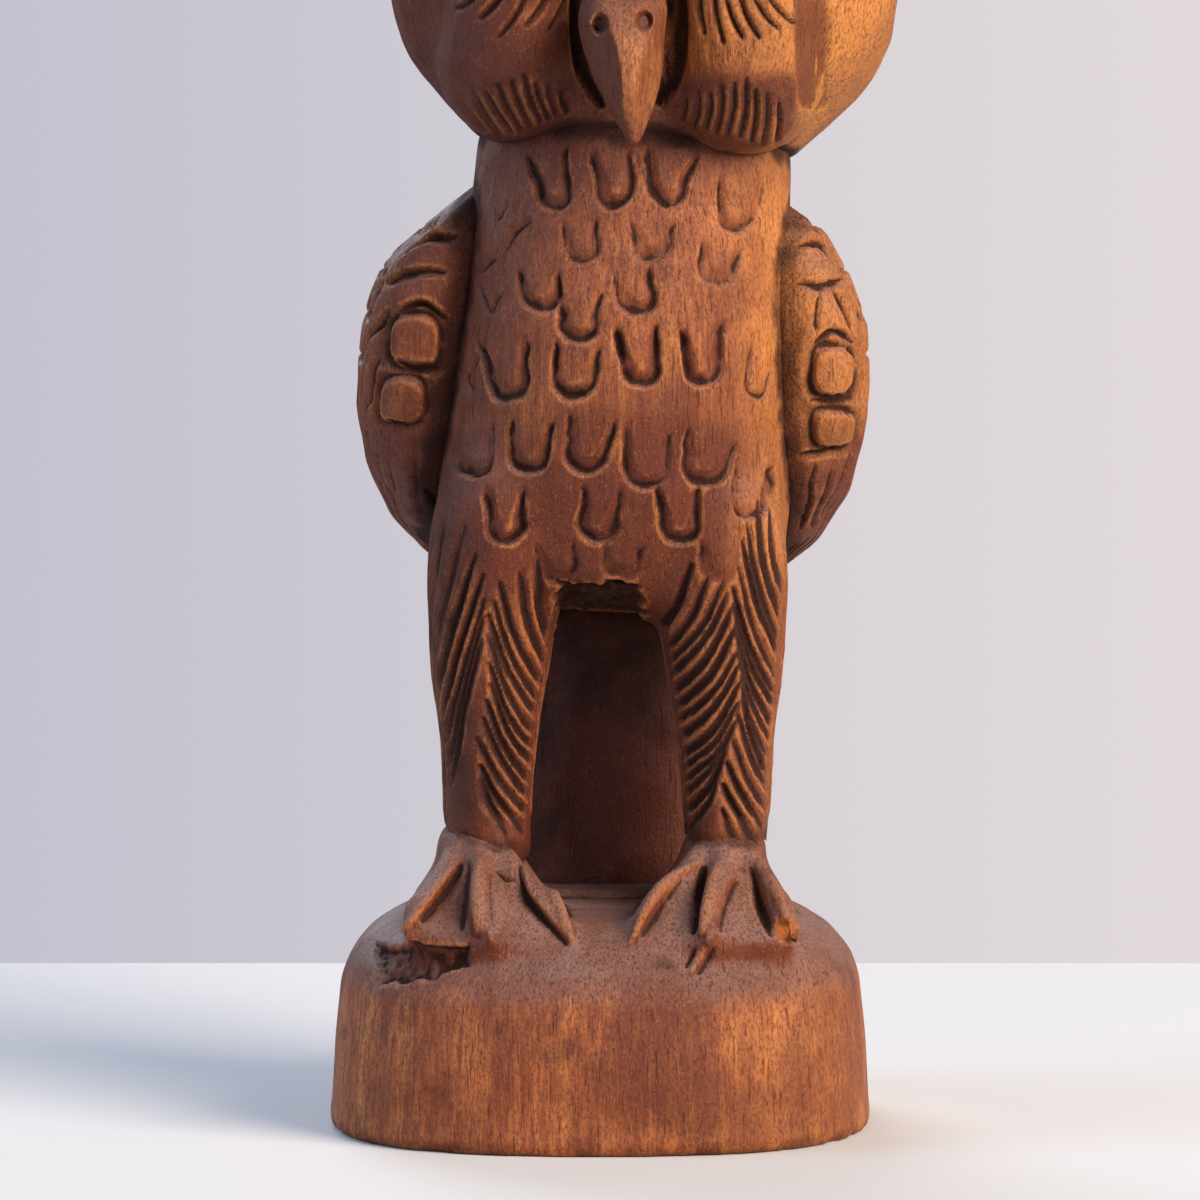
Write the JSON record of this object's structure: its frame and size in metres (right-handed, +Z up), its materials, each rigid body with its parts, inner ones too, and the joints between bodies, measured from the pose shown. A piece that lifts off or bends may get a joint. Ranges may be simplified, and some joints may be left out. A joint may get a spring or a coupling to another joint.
{
  "type": "owl figurine",
  "caption": "Carved wooden owl with gouged breast feathers, folded wings and feathered legs, standing with its toes over the edge of a rounded plinth.",
  "frame": {"origin": "middle of the plinth's flat underside", "axes": "+Z up, -Y the way the owl's breast faces, +X towards the owl's left wing"},
  "size_m": [0.1244, 0.1186, 0.3041],
  "materials": {
    "plinth_wood": "worn stain, satin",
    "body_wood": "worn stain, satin",
    "head_wood": "worn stain, satin",
    "beak_wood": "rubbed stain, satin",
    "shaded_wood": "dark stain, matt"
  },
  "bodies": {
    "root": {"plinth": "plinth_wood", "tail": "shaded_wood", "torso": "body_wood", "left_leg": "body_wood", "right_leg": "body_wood", "left_foot": "plinth_wood", "right_foot": "plinth_wood", "left_wing": "body_wood", "right_wing": "body_wood", "head": "head_wood", "left_face_disc": "head_wood", "right_face_disc": "head_wood", "left_eye": "shaded_wood", "right_eye": "shaded_wood", "left_brow": "head_wood", "right_brow": "head_wood", "left_ear_tuft": "head_wood", "right_ear_tuft": "head_wood", "beak": "beak_wood"}
  },
  "joints": []
}
